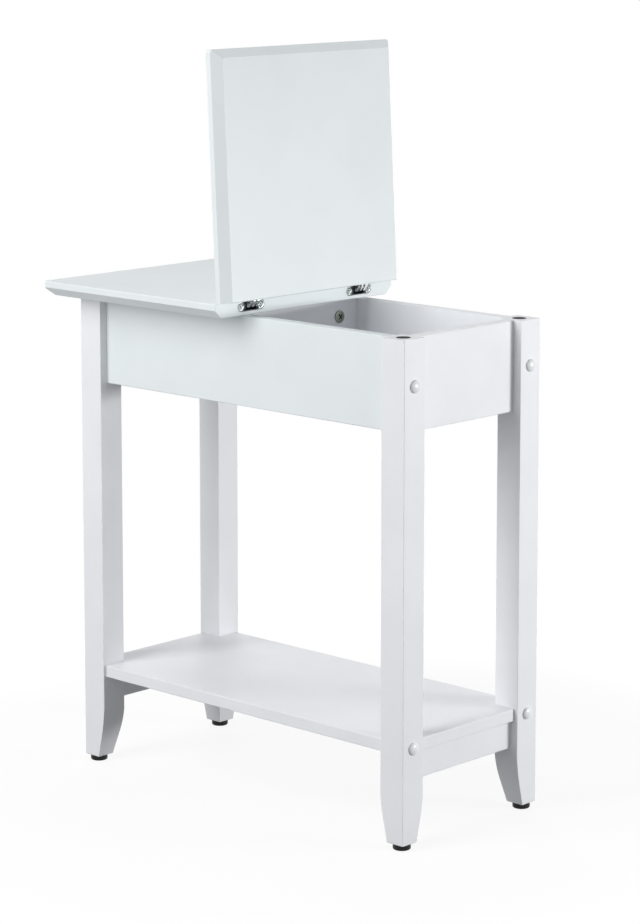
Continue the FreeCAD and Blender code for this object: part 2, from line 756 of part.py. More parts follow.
# the two broad round heads on the divider's face
pan_outline = [("0", "-1 * sheet.face_screw_length"),
               ("sheet.screw_shaft / 2", "-1 * sheet.face_screw_length"),
               ("sheet.screw_shaft / 2", "0"),
               ("sheet.face_screw_head / 2", "0"),
               ("sheet.face_screw_head / 2", "sheet.face_screw_head_thick / 2"),
               ("sheet.face_screw_crown / 2", "sheet.face_screw_head_thick"),
               ("0", "sheet.face_screw_head_thick")]
face_screws = []
for index, y in enumerate(screw_ys):
    face_screws.append(turned(f"divider_screw_{index}", pan_outline, (1, 0, 0),
                              ("sheet.divider_face", y, face_screw_z)))
node(stand(group("divider_screw_group", face_screws)), "divider_screws")


# ---- lid pads and foot glides ----

pads = []
for face, side_y in (("front", -1), ("back", 1)):
    start = (leg_mid_x, signed(side_y, leg_mid_y),
             f"{leg_top} + sheet.pad_proud - sheet.pad_thick")
    pads.append(rod(f"pad_{face}", "Z", start, "sheet.pad_across / 2", "sheet.pad_thick"))
node(stand(group("lid_pad_group", pads)), "lid_pads")

glide_outline = [("0", "0"), ("sheet.glide_across / 2 - sheet.glide_bevel", "0"),
                 ("sheet.glide_across / 2", "sheet.glide_bevel"),
                 ("sheet.glide_across / 2", "sheet.glide_height"), ("0", "sheet.glide_height")]
glides = []
for end, side_x, face, side_y in corners:
    x, y = foot_middle(side_x, side_y)
    glides.append(turned(f"glide_{face}_{end}", glide_outline, (0, 0, 1), (x, y, "0")))
node(stand(group("glide_group", glides)), "glides")


# ---- the two tops, drawn from the hinge line as they lie when shut ----

hinge_y = "(sheet.top_depth / 2 - sheet.hinge_inset)"
hinge_ys = {"front": signed(-1, hinge_y), "rear": hinge_y}


def make_top(name, side, length, drop):
    body = new_body(name)
    low = f"(-1 * {drop} - sheet.top_thick)"
    cut_end = signed(side, "sheet.lid_gap / 2")
    far_end = signed(side, length)
    half_depth = "(sheet.top_depth / 2)"
    add(body, "XY", (low, "sheet.top_thick"),
        rectangle(cut_end, far_end, f"-1 * {half_depth}", half_depth))
    far_x = worked(far_end)
    face_z = worked(f"-1 * {drop}")
    deep_y = worked(half_depth)
    dress(body, "Fillet", "sheet.corner_round",
          lambda edge: upright(edge) and abs(edge.CenterOfMass.x - far_x) < closeness)
    # the bevel under the three outer edges
    bevel_top = f"({low} + sheet.under_bevel)"
    for way in (-1, 1):
        edge_y = signed(way, half_depth)
        wedge = [(edge_y, low), (signed(way, f"({half_depth} - sheet.under_bevel)"), low),
                 (edge_y, bevel_top)]
        cut(body, "YZ", span(side, "0", length), wedge)
    inset = signed(side, f"({length} - sheet.under_bevel)")
    wedge = [(far_end, low), (inset, low), (far_end, bevel_top)]
    cut(body, "XZ", (f"-1 * {half_depth}", "sheet.top_depth"), wedge)

    def upper_rim(edge):
        middle = edge.CenterOfMass
        margin = size("corner_round") / 2
        rim = abs(middle.y) > deep_y - margin or abs(middle.x - far_x) < margin
        return level_at(edge, face_z) and rim

    dress(body, "Fillet", "sheet.top_round", upper_rim)
    low_z = worked(low)
    cut_x = worked(cut_end)
    dress(body, "Chamfer", "sheet.cut_ease",
          lambda edge: level_at(edge, low_z) and abs(edge.CenterOfMass.x - cut_x) < closeness)
    # seats of the hinges in the cut end
    face = "sheet.lid_gap / 2"
    for y in hinge_ys.values():
        half_wide = "(sheet.case_width / 2)"
        block = rectangle(f"{y} - {half_wide}", f"{y} + {half_wide}",
                          f"{plate_mid_z} - sheet.plate_height / 2",
                          f"{plate_mid_z} + sheet.plate_height / 2")
        cut(body, "YZ", span(side, face, f"{face} + sheet.case_deep"), block)
        reach = span(side, face, f"{face} + sheet.plate_thick")
        sketch = sketch_on(body, "YZ", reach[0])
        straight = "((sheet.plate_length - sheet.plate_height) / 2)"
        draw_stadium(sketch, (y, plate_mid_z), straight, "sheet.plate_height / 2")
        extrude(body, "Pocket", sketch, "YZ", reach[1])
        holes = [(f"{y} + {way} * sheet.hinge_screw_apart / 2", plate_mid_z) for way in (-1, 1)]
        bore(body, "YZ", span(side, face, f"{face} + sheet.hinge_screw_length"), holes,
             "sheet.hinge_screw_shaft / 2")
    if side < 0:
        from_cut = [(f"{low_x} + sheet.cleat_thick / 2 - sheet.hinge_line", y)
                    for low_x in cleats.values() for y in top_screw_ys]
        bore(body, "XY", (low, "sheet.top_screw_length - sheet.cleat_height"), from_cut,
             "sheet.screw_shaft / 2")
    return body


node(on_fixed(make_top("top_fixed", -1, fixed_length, "sheet.hinge_rise")), "top_fixed")
node(on_lid(make_top("top_lid", 1, lid_length, lid_drop)), "top_lid")


# ---- concealed hinges: in each top a casing, from which one set of links reaches across into
# the other casing; a pin joins the two sets where they cross ----

sinking = "((sheet.hinge_screw_head - sheet.hinge_screw_shaft) / 2)"
flat_outline = [("0", "-1 * sheet.hinge_screw_length"),
                ("sheet.hinge_screw_shaft / 2", "-1 * sheet.hinge_screw_length"),
                ("sheet.hinge_screw_shaft / 2", f"-1 * {sinking}"),
                ("sheet.hinge_screw_head / 2", "0"), ("0", "0")]


def make_case(name, side, y):
    body = new_body(name)
    face = "sheet.lid_gap / 2"
    reach = span(side, face, f"{face} + sheet.plate_thick")
    sketch = sketch_on(body, "YZ", reach[0])
    straight = "((sheet.plate_length - sheet.plate_height) / 2)"
    draw_stadium(sketch, (y, plate_mid_z), straight, "sheet.plate_height / 2")
    extrude(body, "Pad", sketch, "YZ", reach[1])
    half_wide = "(sheet.case_width / 2)"
    half_tall = "(sheet.plate_height / 2)"
    block = rectangle(f"{y} - {half_wide}", f"{y} + {half_wide}",
                      f"{plate_mid_z} - {half_tall}", f"{plate_mid_z} + {half_tall}")
    add(body, "YZ", span(side, face, f"{face} + sheet.case_deep"), block)
    inner_wide = f"({half_wide} - sheet.cheek_wall)"
    inner_tall = f"({half_tall} - sheet.case_wall)"
    hollow = rectangle(f"{y} - {inner_wide}", f"{y} + {inner_wide}",
                       f"{plate_mid_z} - {inner_tall}", f"{plate_mid_z} + {inner_tall}")
    cut(body, "YZ", span(side, face, f"{face} + sheet.case_deep - sheet.case_wall"), hollow)
    pivot = (signed(side, "sheet.pivot_inset"), "-1 * sheet.pivot_drop")
    bore(body, "XZ", (f"{y} - {half_wide}", "sheet.case_width"), [pivot], "sheet.pin_across / 2")
    holes = [(f"{y} + {way} * sheet.hinge_screw_apart / 2", plate_mid_z) for way in (-1, 1)]
    bore(body, "YZ", reach, holes, "sheet.hinge_screw_shaft / 2")
    face_x = side * size("lid_gap") / 2
    hole_across = size("hinge_screw_shaft")

    def screw_mouth(edge):
        box = edge.BoundBox
        flat = abs(box.XMin - face_x) < closeness and abs(box.XMax - face_x) < closeness
        return flat and abs(box.YLength - hole_across) < closeness and edge.Closed

    dress(body, "Chamfer", sinking, screw_mouth)
    return body


for place, y in hinge_ys.items():
    node(on_fixed(make_case(f"hinge_case_fixed_{place}", -1, y)), f"hinge_case_fixed_{place}")
    node(on_lid(make_case(f"hinge_case_lid_{place}", 1, y)), f"hinge_case_lid_{place}")

for owner, side, seat in (("fixed", -1, on_fixed), ("lid", 1, on_lid)):
    screws = []
    pins = []
    for place, y in hinge_ys.items():
        for way in (-1, 1):
            spot = (signed(side, "sheet.lid_gap / 2"), f"{y} + {way} * sheet.hinge_screw_apart / 2",
                    plate_mid_z)
            screws.append(turned(f"hinge_screw_{owner}_{place}_{way + 1}", flat_outline,
                                 (-side, 0, 0), spot))
        start = (signed(side, "sheet.pivot_inset"), f"{y} - sheet.case_width / 2",
                 "-1 * sheet.pivot_drop")
        pins.append(rod(f"pivot_pin_{owner}_{place}", "Y", start, "sheet.pin_across / 2",
                        "sheet.case_width"))
    node(seat(group(f"hinge_screw_group_{owner}", screws)), f"hinge_screws_{owner}")
    node(seat(group(f"pivot_pin_group_{owner}", pins)), f"hinge_pivot_pins_{owner}")


# The lid's travel is in degrees, and the links turn at a steady share of it. The centre pin is
# carried by the links of the fixed side; at the ends of the travel it lies centre_throw off the
# plane midway between the two tops, so the lid's links hold it in a short slot.
travel = 180
inset = size("pivot_inset")
drop = size("pivot_drop")
throw = size("centre_throw")
shut_angle = -math.degrees(math.acos((inset + throw) / size("link_reach")))
over_angle = math.degrees(math.asin((drop + throw) / size("link_reach")))
link_share = (over_angle - shut_angle) / travel
rest_angle = shut_angle + link_share * size("rest_opening")
print(f"links turn at {link_share:.6f} of the lid's angle")


def off_middle(opening):
    """How far the centre of a link lies from the plane midway between the two tops."""
    angle = math.radians(shut_angle + link_share * opening)
    half = math.radians(opening / 2)
    x = -inset + size("link_reach") * math.cos(angle)
    z = -drop + size("link_reach") * math.sin(angle)
    return x * math.cos(half) + z * math.sin(half)


slot_half = 2 * max(abs(off_middle(opening)) for opening in range(travel + 1))
slot_tilts = [opening / 2 - shut_angle - link_share * opening for opening in (0, travel)]
slot_angle = math.radians(sum(slot_tilts) / 2)
slot_side = slot_half * math.sin(math.radians(max(slot_tilts) - min(slot_tilts)) / 2)


def band(points, width):
    """A flat strip of a width along straight runs, with round ends and outer corners."""
    path = Part.makePolygon([FreeCAD.Vector(x, 0, z) for x, z in points])
    return Part.Face(path.makeOffset2D(width / 2, 0, False, False))


def slot(middle, angle, half, width):
    """A straight slot's area: two half circles and their tangents."""
    along = FreeCAD.Vector(math.cos(angle), 0, math.sin(angle))
    aside = FreeCAD.Vector(-math.sin(angle), 0, math.cos(angle))
    radius = width / 2
    far = middle + along * half
    near = middle - along * half
    edges = [Part.Arc(far - aside * radius, far + along * radius, far + aside * radius),
             Part.LineSegment(far + aside * radius, near + aside * radius),
             Part.Arc(near + aside * radius, near - along * radius, near - aside * radius),
             Part.LineSegment(near - aside * radius, far - aside * radius)]
    return Part.Face(Part.Wire([edge.toShape() for edge in edges]))


def disc(x, z, radius, thick):
    return Part.makeCylinder(radius, thick, FreeCAD.Vector(x, 0, z), FreeCAD.Vector(0, 1, 0))


def link_shape(side, slotted):
    """One link, drawn from its pivot towards the other side, with its lower face at y = 0."""
    reach = size("link_reach")
    thick = size("link_thick")
    pin = size("pin_across") / 2
    run = [(0, 0), (reach / 2, -size("knee_drop")), (reach, 0),
           (size("elbow_along"), size("elbow_rise")), (size("tail_along"), size("tail_rise"))]
    thickness = FreeCAD.Vector(0, thick, 0)
    solid = band(run, size("link_width")).extrude(thickness)
    if slotted:
        centre = FreeCAD.Vector(reach, 0, 0)
        across = 2 * (pin + slot_side + size("slot_play"))
        cheek = slot(centre, slot_angle, slot_half, across + 2 * size("slot_wall"))
        opening = slot(centre, slot_angle, slot_half, across)
        solid = solid.fuse(cheek.extrude(thickness)).removeSplitter()
        solid = solid.cut(opening.extrude(thickness))
    else:
        boss = disc(reach, 0, pin + size("slot_wall"), thick)
        solid = solid.fuse(boss).removeSplitter().cut(disc(reach, 0, pin, thick))
    solid = solid.cut(disc(0, 0, pin + size("pin_play"), thick))
    if side > 0:
        solid = solid.mirror(FreeCAD.Vector(), FreeCAD.Vector(1, 0, 0))
    return solid.Solids[0]


def axis_point(x, z):
    return FreeCAD.Vector(x, 0, z)


across_y = FreeCAD.Vector(0, -1, 0)
hinge_point = FreeCAD.Vector(worked(origin_x) + size("hinge_line"), 0, worked(hinge_z))
fixed_frame = FreeCAD.Placement(hinge_point, FreeCAD.Rotation())
lid_frame = FreeCAD.Placement(hinge_point, FreeCAD.Rotation(across_y, size("rest_opening")))
link_turn = FreeCAD.Placement(axis_point(-inset, -drop), FreeCAD.Rotation(across_y, rest_angle))
lid_link_turn = FreeCAD.Placement(axis_point(inset, -drop),
                                  FreeCAD.Rotation(across_y, -rest_angle))
pitch = size("link_thick") + size("link_play")
link_rows = {"fixed": (-1, 1), "lid": (-2, 0, 2)}
for place, y in hinge_ys.items():
    for owner, side, frame, turn in (("fixed", -1, fixed_frame, link_turn),
                                     ("lid", 1, lid_frame, lid_link_turn)):
        link = link_shape(side, owner == "lid")
        rows = []
        for row in link_rows[owner]:
            low = worked(y) + row * pitch - size("link_thick") / 2
            rows.append(link.translated(FreeCAD.Vector(0, low, 0)))
        links = doc.addObject("Part::Feature", f"hinge_links_{owner}_{place}")
        links.Shape = Part.makeCompound(rows)
        links.Placement = frame.multiply(turn)
        node(links, f"hinge_links_{owner}_{place}")
    long = len(link_rows["fixed"] + link_rows["lid"]) * pitch - size("link_play")
    pin = doc.addObject("Part::Feature", f"hinge_centre_pin_{place}")
    pin.Shape = disc(size("link_reach"), 0, size("pin_across") / 2, long)
    middle = FreeCAD.Placement(FreeCAD.Vector(0, worked(y) - long / 2, 0), FreeCAD.Rotation())
    pin.Placement = fixed_frame.multiply(link_turn).multiply(middle)
    node(pin, f"hinge_centre_pin_{place}")


# ---- check and write ----

doc.recompute()
for thing in doc.Objects:
    if "Invalid" in thing.State or "Error" in thing.State:
        raise ValueError(f"{thing.Label} did not build: {thing.State}")
for thing in nodes:
    shape = thing.Shape
    if shape.isNull() or not shape.isValid():
        raise ValueError(f"{thing.Label} has no sound shape")
os.makedirs("parts", exist_ok=True)
for thing in nodes:
    thing.Shape.exportStep(f"parts/{thing.Label}.step")
print(f"{len(nodes)} sub-parts written")
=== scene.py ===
import json
import math

import bmesh
import bpy
from mathutils import Matrix, Vector


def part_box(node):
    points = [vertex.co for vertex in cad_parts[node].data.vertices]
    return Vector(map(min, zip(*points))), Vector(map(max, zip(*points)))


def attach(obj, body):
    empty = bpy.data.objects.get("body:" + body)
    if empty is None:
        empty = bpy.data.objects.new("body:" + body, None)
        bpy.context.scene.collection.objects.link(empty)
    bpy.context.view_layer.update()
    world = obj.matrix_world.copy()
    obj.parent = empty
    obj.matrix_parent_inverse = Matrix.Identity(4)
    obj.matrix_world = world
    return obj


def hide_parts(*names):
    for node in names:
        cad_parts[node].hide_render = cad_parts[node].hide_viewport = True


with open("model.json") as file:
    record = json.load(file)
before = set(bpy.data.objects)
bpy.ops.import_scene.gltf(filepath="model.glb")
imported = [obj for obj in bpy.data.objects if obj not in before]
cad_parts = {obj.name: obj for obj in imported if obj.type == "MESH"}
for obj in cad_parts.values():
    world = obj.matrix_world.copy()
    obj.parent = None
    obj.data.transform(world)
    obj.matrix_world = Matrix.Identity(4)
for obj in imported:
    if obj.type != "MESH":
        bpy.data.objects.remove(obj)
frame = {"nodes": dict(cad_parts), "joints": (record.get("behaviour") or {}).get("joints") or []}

# Flip-top end table, sprayed white, with its lid standing open. Metres; +X is the lid's end,
# -Y the front, +Z up.

scene = bpy.context.scene
scene.view_settings.view_transform = "Standard"
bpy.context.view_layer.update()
mm = 0.001
# points nearer to each other than this become one
weldDistance = 0.001 * mm
# faces that meet at a larger angle than this show an edge between them
creaseAngle = math.radians(32)


# Small helpers

def hexColour(text):
    # sRGB hex to the linear colour that the shaders take
    channels = [int(text[place:place + 2], 16) / 255 for place in (1, 3, 5)]
    linear = [c / 12.92 if c <= 0.04045 else ((c + 0.055) / 1.055) ** 2.4 for c in channels]
    return (*linear, 1.0)


def addNode(tree, kind, settings=None, inputs=None):
    # one node, its settings, and its inputs as values or as links from other sockets; sockets
    # are named, or numbered where a node has several of one name
    node = tree.nodes.new(kind)
    for name, value in (settings or {}).items():
        setattr(node, name, value)
    for name, value in (inputs or {}).items():
        if isinstance(value, bpy.types.NodeSocket):
            tree.links.new(value, node.inputs[name])
        else:
            node.inputs[name].default_value = value
    return node


def newMaterial(name):
    material = bpy.data.materials.new(name)
    material.use_nodes = True
    tree = material.node_tree
    tree.nodes.clear()
    return material, tree


def finishMaterial(tree, shader):
    addNode(tree, "ShaderNodeOutputMaterial", inputs={"Surface": shader.outputs[0]})


def objectPlace(tree, stretch=(1, 1, 1)):
    # the point on the piece in metres; a pattern is drawn out along an axis that is scaled down
    coordinate = addNode(tree, "ShaderNodeTexCoord")
    return addNode(tree, "ShaderNodeMapping",
                   inputs={"Vector": coordinate.outputs["Object"], "Scale": stretch}).outputs[0]


def grain(tree, place, size, detail=2.0):
    # noise whose blotches are about this size, in metres
    return addNode(tree, "ShaderNodeTexNoise",
                   inputs={"Vector": place, "Scale": 1 / size, "Detail": detail}).outputs["Fac"]


def twoTones(tree, factor, dark, light, low=0.35, high=0.65):
    # noise seldom leaves its middle, so the tones meet their ends at low and high
    ramp = addNode(tree, "ShaderNodeValToRGB", inputs={"Fac": factor})
    ramp.color_ramp.elements[0].position = low
    ramp.color_ramp.elements[0].color = hexColour(dark)
    ramp.color_ramp.elements[1].position = high
    ramp.color_ramp.elements[1].color = hexColour(light)
    return ramp.outputs["Color"]


def between(tree, factor, low, high):
    # a roughness that wanders between two values
    return addNode(tree, "ShaderNodeMapRange",
                   inputs={"Value": factor, "To Min": low, "To Max": high}).outputs[0]


def bumpFrom(tree, height, depth, below=None):
    # a bump of this depth, on top of another one where there is one below
    inputs = {"Height": height, "Distance": depth}
    if below is not None:
        inputs["Normal"] = below
    return addNode(tree, "ShaderNodeBump", inputs=inputs).outputs[0]


# Materials

# how broad the coats' clouds, orange peel and sags are, and how deep the last two; satin and
# dull are the roughnesses that the clouds wander between
lacquerLook = {"cloud": 90 * mm, "peel": 1.6 * mm, "peelDepth": 0.006 * mm,
               "sag": 22 * mm, "sagDepth": 0.02 * mm, "satin": 0.36, "dull": 0.44}


def makeLacquer(name, shade, colour):
    # Satin polyurethane lacquer, sprayed: even cool white, a soft broad highlight with very
    # fine orange peel, and a trace of unevenness where the coats vary.
    look = lacquerLook
    material, tree = newMaterial(name)
    place = objectPlace(tree)
    cloud = grain(tree, place, look["cloud"], detail=3)
    peel = bumpFrom(tree, grain(tree, place, look["peel"]), look["peelDepth"])
    surface = bumpFrom(tree, grain(tree, place, look["sag"], detail=1), look["sagDepth"],
                       below=peel)
    shader = addNode(tree, "ShaderNodeBsdfPrincipled", inputs={
        "Base Color": twoTones(tree, cloud, shade, colour),
        "Roughness": between(tree, cloud, look["satin"], look["dull"]),
        "Normal": surface, "IOR": 1.5})
    finishMaterial(tree, shader)
    return material


beechLook = {"dark": "#b48c62", "light": "#d4b083", "rings": 5 * mm, "flecks": 0.8 * mm,
             "fleckShare": 0.35, "fleckDepth": 0.05 * mm, "drawnOut": 0.06, "roughness": 0.62}


def makeBeech():
    # Planed beech, unfinished: pale pinkish brown with short darker flecks along the grain.
    look = beechLook
    material, tree = newMaterial("planedBeech")
    along = objectPlace(tree, (1, look["drawnOut"], 1))
    rings = grain(tree, along, look["rings"], detail=4)
    flecks = grain(tree, along, look["flecks"])
    mixed = addNode(tree, "ShaderNodeMix", {"data_type": "FLOAT"},
                    {0: look["fleckShare"], 2: rings, 3: flecks}).outputs[0]
    shader = addNode(tree, "ShaderNodeBsdfPrincipled", inputs={
        "Base Color": twoTones(tree, mixed, look["dark"], look["light"], low=0.38, high=0.6),
        "Roughness": look["roughness"],
        "Normal": bumpFrom(tree, flecks, look["fleckDepth"]), "IOR": 1.5})
    finishMaterial(tree, shader)
    return material


def makePlastic(name, shade, colour, roughness, grit, depth, gloss=0.5):
    # Moulded plastic or rubber: even colour and the fine texture of its mould.
    spread = 0.04
    material, tree = newMaterial(name)
    texture = grain(tree, objectPlace(tree), grit)
    shader = addNode(tree, "ShaderNodeBsdfPrincipled", inputs={
        "Base Color": twoTones(tree, texture, shade, colour),
        "Roughness": between(tree, texture, roughness - spread, roughness + spread),
        "Normal": bumpFrom(tree, texture, depth), "IOR": 1.46, "Specular IOR Level": gloss})
    finishMaterial(tree, shader)
    return material


# painted shade in the metals' colour: full where this little of the reach around a point is
# open, and none where this much is
crevicePaintedShade = {"colour": "#0e0e0d", "reach": 2 * mm, "full": 0.4, "clear": 0.85, "samples": 8}


def makeMetal(name, shade, colour, low, high, grit, depth, stretch=(1, 1, 1)):
    # Plated metal: the plating's own tint, mottled at the scale of its grain, with painted shade
    # mixed into its colour in the grooves and corners that are narrower than the reach.
    material, tree = newMaterial(name)
    texture = grain(tree, objectPlace(tree, stretch), grit, detail=3)
    plating = twoTones(tree, texture, shade, colour)
    # painted shade: the plating's colour darkens to near black where little of the reach around
    # a point is open
    openness = addNode(tree, "ShaderNodeAmbientOcclusion", {"samples": crevicePaintedShade["samples"]},
                       {"Distance": crevicePaintedShade["reach"]}).outputs["AO"]
    unshadedShare = addNode(tree, "ShaderNodeMapRange",
                    inputs={"Value": openness, "From Min": crevicePaintedShade["full"],
                            "From Max": crevicePaintedShade["clear"]}).outputs[0]
    shadedPlating = addNode(tree, "ShaderNodeMix", {"data_type": "RGBA"},
                      {0: unshadedShare, 6: hexColour(crevicePaintedShade["colour"]), 7: plating}).outputs[2]
    shader = addNode(tree, "ShaderNodeBsdfPrincipled", inputs={
        "Base Color": shadedPlating, "Metallic": 1.0,
        "Roughness": between(tree, texture, low, high),
        "Normal": bumpFrom(tree, texture, depth)})
    finishMaterial(tree, shader)
    return material


# on the tops and the front apron, a little cooler and darker, as from another batch
faceLacquer = makeLacquer("satinCoolWhiteLacquer", shade="#dfe5e7", colour="#e2e8ea")
# on every other board and leg
frameLacquer = makeLacquer("satinWhiteLacquer", shade="#e6e7eb", colour="#e9ebee")
beech = makeBeech()
# injection-moulded polyethylene, soft and nearly glossy
capPlastic = makePlastic("whitePolyethylene", shade="#e6e8ea", colour="#eceef0", roughness=0.3,
                         grit=1.2 * mm, depth=0.004 * mm)
# injection-moulded nylon, matt from a spark-eroded mould
glidePlastic = makePlastic("blackNylon", shade="#070808", colour="#0e0f0f", roughness=0.42,
                           grit=0.6 * mm, depth=0.02 * mm, gloss=0.3)
# moulded rubber, matt and faintly red
padRubber = makePlastic("darkRubber", shade="#160d10", colour="#22161a", roughness=0.7,
                        grit=0.5 * mm, depth=0.02 * mm, gloss=0.3)
# bright zinc plate with its bluish passivation
zincPlate = makeMetal("zincPlatedSteel", shade="#a9aeb4", colour="#c2c7cc", low=0.28, high=0.4,
                      grit=0.7 * mm, depth=0.006 * mm)
# zinc plate with an olive passivation
olivePlate = makeMetal("olivePassivatedSteel", shade="#7b8278", colour="#9aa196", low=0.3,
                       high=0.42, grit=0.7 * mm, depth=0.006 * mm)
# satin nickel over die-cast zinc
satinNickel = makeMetal("satinNickelCasting", shade="#6f7475", colour="#9ca1a2", low=0.26,
                        high=0.38, grit=0.9 * mm, depth=0.005 * mm)
# punched from bright strip, with fine drawn lines
brightStrip = makeMetal("brightSteelStrip", shade="#c9cbcb", colour="#eceeee", low=0.16,
                        high=0.3, grit=0.35 * mm, depth=0.004 * mm, stretch=(1, 1, 0.2))
print("materials made")


# Dressing the CAD nodes

nodeMaterials = [
    (faceLacquer, ("top_", "apron_front")),
    (frameLacquer, ("leg_front", "leg_back", "end_panel_left", "end_panel_right", "rail_left",
                    "rail_right", "apron_back", "divider", "compartment_floor", "shelf")),
    (beech, ("cleat_divider", "cleat_end", "end_panel_tenons", "rail_tenons",
             "divider_tenons")),
    (zincPlate, ("leg_bolts", "barrel_nuts", "top_screws", "cleat_screws")),
    (olivePlate, ("divider_screws",)),
    (capPlastic, ("bolt_caps",)),
    (padRubber, ("lid_pads",)),
    (glidePlastic, ("glides",)),
    (satinNickel, ("hinge_case", "hinge_screws")),
    (brightStrip, ("hinge_links", "hinge_pivot_pins", "hinge_centre_pin")),
]


def materialFor(name):
    # the longest start of the node's name that is listed decides
    fits = [(len(start), material) for material, starts in nodeMaterials
            for start in starts if name.startswith(start)]
    return max(fits, key=lambda fit: fit[0])[1]


for name, node in frame["nodes"].items():
    node.data.materials.clear()
    node.data.materials.append(materialFor(name))
print(f"{len(frame['nodes'])} CAD nodes dressed")


# Turned small pieces: caps, screws, glides and pads, all from one Geometry Nodes tree

# the recess's width, as shares of its named size, at its bottom and at the top of its cutter;
# the shares change within this band of the cutter's middle, where it has no corners
recessTaper = {"bottom": 0.75, "top": 1.15, "band": 0.1 * mm}


def turnedForm(tree, given, position):
    # a flat sheet, one row for each point of the profile, wrapped round Z and welded shut
    profile = addNode(tree, "GeometryNodeObjectInfo", inputs={"Object": given["Profile"]})
    outline = profile.outputs["Geometry"]
    count = addNode(tree, "GeometryNodeAttributeDomainSize", {"component": "MESH"},
                    {"Geometry": outline}).outputs["Point Count"]
    columns = addNode(tree, "ShaderNodeMath", {"operation": "ADD"},
                      {0: given["Steps"], 1: 1.0}).outputs[0]
    sheet = addNode(tree, "GeometryNodeMeshGrid",
                    inputs={"Size X": 1.0, "Size Y": 1.0, "Vertices X": columns,
                            "Vertices Y": count}).outputs["Mesh"]
    onSheet = addNode(tree, "ShaderNodeSeparateXYZ", inputs={0: position})
    last = addNode(tree, "ShaderNodeMath", {"operation": "SUBTRACT"},
                   {0: count, 1: 1.0}).outputs[0]
    row = addNode(tree, "ShaderNodeMapRange",
                  inputs={"Value": onSheet.outputs["Y"], "From Min": -0.5, "From Max": 0.5,
                          "To Min": 0.0, "To Max": last}).outputs[0]
    rowNumber = addNode(tree, "FunctionNodeFloatToInt", inputs={0: row}).outputs[0]
    onProfile = addNode(tree, "GeometryNodeSampleIndex", {"data_type": "FLOAT_VECTOR"},
                        {"Geometry": outline, "Value": position, "Index": rowNumber}).outputs[0]
    turn = addNode(tree, "ShaderNodeMapRange",
                   inputs={"Value": onSheet.outputs["X"], "From Min": -0.5, "From Max": 0.5,
                           "To Min": 0.0, "To Max": math.tau}).outputs[0]
    spun = addNode(tree, "ShaderNodeVectorRotate", {"rotation_type": "Z_AXIS"},
                   {"Vector": onProfile, "Angle": turn}).outputs[0]
    wrapped = addNode(tree, "GeometryNodeSetPosition",
                      inputs={"Geometry": sheet, "Position": spun}).outputs[0]
    return addNode(tree, "GeometryNodeMergeByDistance",
                   inputs={"Geometry": wrapped, "Distance": weldDistance}).outputs[0]


def crossCutter(tree, given, position):
    # two crossed wedges for the driver's recess, half above the head's top, narrower below
    depth = addNode(tree, "ShaderNodeMath", {"operation": "MULTIPLY"},
                    {0: given["Recess Depth"], 1: 2.0}).outputs[0]
    crossed = addNode(tree, "GeometryNodeMeshBoolean",
                      {"operation": "UNION", "solver": "EXACT"})
    for along, over in (("Recess Across", "Recess Width"), ("Recess Width", "Recess Across")):
        size = addNode(tree, "ShaderNodeCombineXYZ",
                       inputs={"X": given[along], "Y": given[over], "Z": depth}).outputs[0]
        wing = addNode(tree, "GeometryNodeMeshCube", inputs={"Size": size}).outputs["Mesh"]
        tree.links.new(wing, crossed.inputs["Mesh 2"])
    height = addNode(tree, "ShaderNodeSeparateXYZ", inputs={0: position}).outputs["Z"]
    share = addNode(tree, "ShaderNodeMapRange",
                    inputs={"Value": height, "From Min": -recessTaper["band"],
                            "From Max": recessTaper["band"],
                            "To Min": recessTaper["bottom"],
                            "To Max": recessTaper["top"]}).outputs[0]
    shares = addNode(tree, "ShaderNodeCombineXYZ",
                     inputs={"X": share, "Y": share, "Z": 1.0}).outputs[0]
    wedge = addNode(tree, "ShaderNodeVectorMath", {"operation": "MULTIPLY"},
                    {0: position, 1: shares}).outputs[0]
    lift = addNode(tree, "ShaderNodeCombineXYZ", inputs={"Z": given["Top"]}).outputs[0]
    return addNode(tree, "GeometryNodeSetPosition",
                   inputs={"Geometry": crossed.outputs[0], "Position": wedge,
                           "Offset": lift}).outputs[0]


def creasedForm(tree, piece):
    # faces that meet at less than the crease angle shade as one
    crease = addNode(tree, "FunctionNodeCompare", {"operation": "GREATER_THAN"},
                     {0: addNode(tree, "GeometryNodeInputMeshEdgeAngle").outputs[0],
                      1: creaseAngle}).outputs[0]
    smooth = addNode(tree, "GeometryNodeSetShadeSmooth", {"domain": "FACE"},
                     {"Geometry": piece, "Shade Smooth": True}).outputs[0]
    return addNode(tree, "GeometryNodeSetShadeSmooth", {"domain": "EDGE"},
                   {"Geometry": smooth, "Selection": crease,
                    "Shade Smooth": False}).outputs[0]


def formOnSeats(tree, given, form):
    # each seat says which way its piece faces, and how far it is turned about its own axis
    facing = addNode(tree, "GeometryNodeInputNamedAttribute", {"data_type": "FLOAT_VECTOR"},
                     {"Name": "facing"}).outputs[0]
    drive = addNode(tree, "GeometryNodeInputNamedAttribute", {"data_type": "FLOAT"},
                    {"Name": "drive"}).outputs[0]
    ownTurn = addNode(tree, "ShaderNodeCombineXYZ", inputs={"Z": drive}).outputs[0]
    aimed = addNode(tree, "FunctionNodeAlignRotationToVector", {"axis": "Z"},
                    {"Vector": facing}).outputs[0]
    rotation = addNode(tree, "FunctionNodeRotateRotation", {"rotation_space": "LOCAL"},
                       {0: aimed, 1: ownTurn}).outputs[0]
    return addNode(tree, "GeometryNodeInstanceOnPoints",
                   inputs={"Points": given["Seats"], "Instance": form,
                           "Rotation": rotation}).outputs[0]


